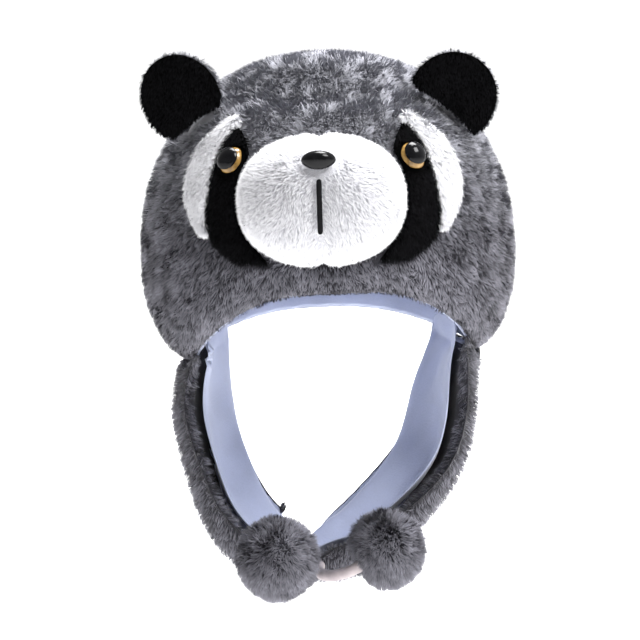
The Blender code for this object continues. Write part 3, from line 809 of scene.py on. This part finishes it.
def makeMuzzle():
    noseLow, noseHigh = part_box("nose")
    parting = np.array(((noseLow + noseHigh) / 2)[:])
    skin = smoothed(nodeMesh("muzzle"), "muzzle_skin", 1)
    sink(skin, muzzle["sink"], lambda places, normals: smoothstep(0.5, -0.1, normals[:, 1]))
    skin.data.materials.append(whiteFur)
    settle(skin, "white_fur", "muzzle")
    noseTree = treeOf("nose")
    eyeTree = treeOf("eye_iris_left", "eye_iris_right")

    def comb(places, normals):
        flow = away(places, parting)
        flow[:, 2] -= 0.35
        crease = np.exp(-((places[:, 0] / muzzle["partingWidth"]) ** 2))
        flow[:, 0] += np.sign(places[:, 0]) * crease * 1.2
        return flow

    def room(roots, normals):
        top = roots + normals * muzzle["sink"]
        nearNose = smoothstep(*muzzle["noseClear"], distances(noseTree, top))
        inCrease = 1 - 0.55 * np.exp(-((roots[:, 0] / muzzle["stitchWidth"]) ** 2))
        nearEyes = smoothstep(*muzzle["eyeClear"], distances(eyeTree, top))
        return np.maximum(0.0, nearNose * 0.8 + 0.2 * (nearNose > 0)) * inCrease * nearEyes

    def keep(places, normals):
        return (normals[:, 1] < 0.35).astype(float)

    pile = growPile("muzzle_pile", skin, muzzle["pile"], 31, whiteFur, keep, comb, room)
    settle(pile, "white_fur")
    makeSmall("nose", "nose_button", gloss, "black_plastic", 2)
    makeSmall("mouth_stitch", "mouth_thread", threadCloth, "black_fur", 1, (1.7, 1.05, 1.0))


def makeSmall(nodeName, name, material, slotName, levels, grow=(1, 1, 1)):
    # a small hard piece keeps its solid's form, rounded
    bm = nodeMesh(nodeName)
    low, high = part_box(nodeName)
    middle = Matrix.Translation((low + high) / 2)
    bmesh.ops.transform(bm, matrix=middle @ Matrix.Diagonal((*grow, 1)) @ middle.inverted(), verts=bm.verts)
    piece = smoothed(bm, name, levels)
    piece.data.materials.append(material)
    settle(piece, slotName, nodeName)


# Face patches and stripes
patch = {
    "sink": 0.0012,
    "eyeClear": (0.0012, 0.004),
    "pile": {
        "count": 6500,
        "length": 0.0038,
        "width": 0.00042,
        "flow": (0, 0, -1),
        "swirl": 0.6,
        "swirlScale": 90.0,
        "stray": 0.35,
        "lean": 58,
        "leanSpread": 10,
        "perLock": 9,
        "pull": 0.45,
        "soft": 0.6,
    },
}


def makePatch(nodeName, name, material, slotName, seed, eye=None):
    skin = smoothed(nodeMesh(nodeName), name + "_skin", 1)
    sink(skin, patch["sink"], lambda places, normals: smoothstep(0.0, 0.6, outwardness(places, normals)))
    skin.data.materials.append(material)
    settle(skin, slotName, nodeName)
    eyeTree = treeOf(eye) if eye else None

    def keep(places, normals):
        return (outwardness(places, normals) > 0.1).astype(float)

    def trim(roots, normals):
        return smoothstep(*patch["eyeClear"], distances(eyeTree, roots + normals * patch["sink"]))

    pile = growPile(name + "_pile", skin, patch["pile"], seed, material, keep, None, trim if eye else None)
    settle(pile, slotName)


def makeEye(suffix):
    makeSmall("eye_iris_" + suffix, "eye_ring_" + suffix, amber, "amber_plastic", 2)
    makeSmall("eye_pupil_" + suffix, "eye_dark_" + suffix, gloss, "black_plastic", 2, (1.17, 1.0, 1.17))


# Ears
ear = {
    "seamClear": (0.001, 0.004),  # from the ear's other side, where the surface isn't drawn in
    "bald": 0.0013,
    "velvet": {
        "count": 5000,
        "length": 0.0030,
        "width": 0.0005,
        "flow": (0, 0, -1),
        "swirl": 0.6,
        "swirlScale": 90.0,
        "stray": 0.35,
        "lean": 45,
        "leanSpread": 12,
        "perLock": 8,
        "pull": 0.4,
        "soft": 0.6,
    },
    "plush": {
        "count": 6000,
        "length": 0.0040,
        "width": 0.00042,
        "flow": (0, 0, -1),
        "swirl": 0.8,
        "swirlScale": 70.0,
        "stray": 0.35,
        "lean": 50,
        "leanSpread": 12,
        "perLock": 8,
        "pull": 0.5,
        "soft": 0.6,
    },
}


def makeEar(suffix, seed):
    for face, look, material, slotName, depth in (
        ("front", "velvet", blackFur, "black_fur", 0.0008),
        ("back", "plush", greyFur, "grey_fur", 0.0024),
    ):
        nodeName = f"ear_{face}_{suffix}"
        other = "ear_back_" if face == "front" else "ear_front_"
        otherTree = treeOf(other + suffix)
        skin = smoothed(nodeMesh(nodeName), f"ear_{face}_skin_{suffix}", 1)

        def clear(places, normals):
            return smoothstep(*ear["seamClear"], distances(otherTree, places))

        def keep(places, normals):
            return (distances(otherTree, places) > ear["bald"]).astype(float)

        sink(skin, depth, clear)
        skin.data.materials.append(material)
        settle(skin, slotName, nodeName)
        pile = growPile(f"ear_{face}_pile_{suffix}", skin, ear[look], seed, material, keep)
        settle(pile, slotName)
        seed += 1


# Pompoms and their cords
pompom = {
    "core": 0.85,  # share of the radius that is dense
    "pile": {
        "count": 17000,
        "length": 0.0054,
        "width": 0.00044,
        "flow": (0, 0, -1),
        "swirl": 1.2,
        "swirlScale": 140.0,
        "stray": 0.5,
        "lean": 28,
        "leanSpread": 13,
        "perLock": 8,
        "pull": 0.38,
        "soft": 0.8,
    },
}
cordRoutes = {
    # start, its handle, the far handle and end, as in the part's source
    "left": ((-0.0264, -0.0589, -0.2666), (-0.0205, -0.0653, -0.2701), (-0.0177, -0.0624, -0.2322),
             (-0.0235, -0.0801, -0.2387)),
    "right": ((-0.0081, -0.0649, -0.2601), (-0.0110, -0.0800, -0.2620), (0.0029, -0.1046, -0.2526),
              (0.0141, -0.1005, -0.2471)),
}
cordDiameter = 0.006


def makePompom(suffix, seed):
    low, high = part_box("pompom_" + suffix)
    middle = np.array(((low + high) / 2)[:])
    skin = smoothed(nodeMesh("pompom_" + suffix), "pompom_core_" + suffix, 0)
    places = arrayOf(skin.data.vertices, "co", 3)
    places = middle + (places - middle) * pompom["core"]
    skin.data.vertices.foreach_set("co", places.astype(np.float32).ravel())
    skin.data.update()
    skin.data.materials.append(greyFur)
    settle(skin, "grey_fur", "pompom_" + suffix)
    pile = growPile("pompom_pile_" + suffix, skin, pompom["pile"], seed, greyFur)
    settle(pile, "grey_fur")
    return [skin, pile]


def makeCord(suffix, carried):
    start, leave, arrive, end = (Vector(p) for p in cordRoutes[suffix])
    route = interpolate_bezier(start, leave, arrive, end, 19)
    curve = bpy.data.curves.new("pompom_string_" + suffix, "CURVE")
    curve.dimensions = "3D"
    curve.bevel_depth = cordDiameter / 2
    curve.bevel_resolution = 5
    curve.use_fill_caps = True
    spline = curve.splines.new("POLY")
    spline.points.add(len(route) - 1)
    for point, place in zip(spline.points, route):
        point.co = (*place, 1)
    curve.materials.append(cordCloth)
    string = bpy.data.objects.new("pompom_string_" + suffix, curve)
    bpy.context.scene.collection.objects.link(string)
    settle(string, "pale_cord", "pompom_cord_" + suffix)


# Floor and light
studio = {
    "drop": 0.12,  # floor below the hat
    "floor": (0.93, 0.93, 0.93),
    "glow": 0.55,  # keeps the floor as white as the wall behind it
    "aim": (0, 0, -0.12),
    "bright": (0.45, 0.89, 0.0),  # the way to the brighter side of the room
    "fade": (-0.6, 0.6),
    "front": 0.42,  # how bright the room is on the camera's side
    "back": 1.15,
    "lamps": (
        # name, place, size, watts
        ("key", (1.0, -0.9, 1.2), 0.7, 34.0),
        ("top", (0.25, 0.25, 1.5), 0.8, 62.0),
    ),
}


def makeStudio():
    graph = Graph("paleFloor", Roughness=0.9, Emission_Strength=studio["glow"])
    graph.shader.inputs["Emission Color"].default_value = (1, 1, 1, 1)
    graph.base(graph.tint(studio["floor"], 0.97 + graph.noise(3.0, 1.0) * 0.05))
    bm = bmesh.new()
    bmesh.ops.create_grid(bm, x_segments=1, y_segments=1, size=8)
    bmesh.ops.translate(bm, vec=(0, 0, cadBox[0][2] - studio["drop"]), verts=bm.verts)
    mesh = bpy.data.meshes.new("floor")
    bm.to_mesh(mesh)
    bm.free()
    mesh.materials.append(graph.material)
    linked("floor", mesh)
    world = bpy.data.worlds.new("studio")
    world.use_nodes = True
    world.node_tree.nodes["Background"].inputs["Color"].default_value = (1, 1, 1, 1)
    tree = world.node_tree
    around = tree.nodes.new("ShaderNodeTexCoord")
    facing = tree.nodes.new("ShaderNodeVectorMath")
    facing.operation = "DOT_PRODUCT"
    facing.inputs[1].default_value = studio["bright"]
    fade = tree.nodes.new("ShaderNodeMapRange")
    fade.inputs["From Min"].default_value = studio["fade"][0]
    fade.inputs["From Max"].default_value = studio["fade"][1]
    fade.inputs["To Min"].default_value = studio["front"]
    fade.inputs["To Max"].default_value = studio["back"]
    tree.links.new(around.outputs["Generated"], facing.inputs[0])
    tree.links.new(facing.outputs["Value"], fade.inputs["Value"])
    tree.links.new(fade.outputs["Result"], tree.nodes["Background"].inputs["Strength"])
    bpy.context.scene.world = world
    bpy.context.scene.view_settings.view_transform = "Standard"
    for name, place, size, watts in studio["lamps"]:
        data = bpy.data.lights.new(name, "AREA")
        data.size = size
        data.energy = watts
        lamp = bpy.data.objects.new(name, data)
        aim = (Vector(studio["aim"]) - Vector(place)).to_track_quat("-Z", "Y")
        lamp.matrix_world = Matrix.Translation(place) @ aim.to_matrix().to_4x4()
        bpy.context.scene.collection.objects.link(lamp)


makeCamera()
makeStudio()
for suffix, seed in (("left", 71), ("right", 81)):
    makeCord(suffix, makePompom(suffix, seed))
print("pompoms and cords done")
makeCrown()
makeCrownLining()
print("crown done")
for suffix, seed in (("left", 41), ("right", 51)):
    makeFlap(suffix, seed)
    makeFlapLining(suffix)
    makeEar(suffix, seed + 4)
print("flaps and ears done")
makeMuzzle()
for suffix, seed in (("left", 91), ("right", 101)):
    makePatch("eye_patch_" + suffix, "eye_patch_fur_" + suffix, blackFur, "black_fur", seed, "eye_iris_" + suffix)
    makePatch("brow_stripe_" + suffix, "brow_stripe_fur_" + suffix, whiteFur, "white_fur", seed + 3)
    makeEye(suffix)
print("face done")
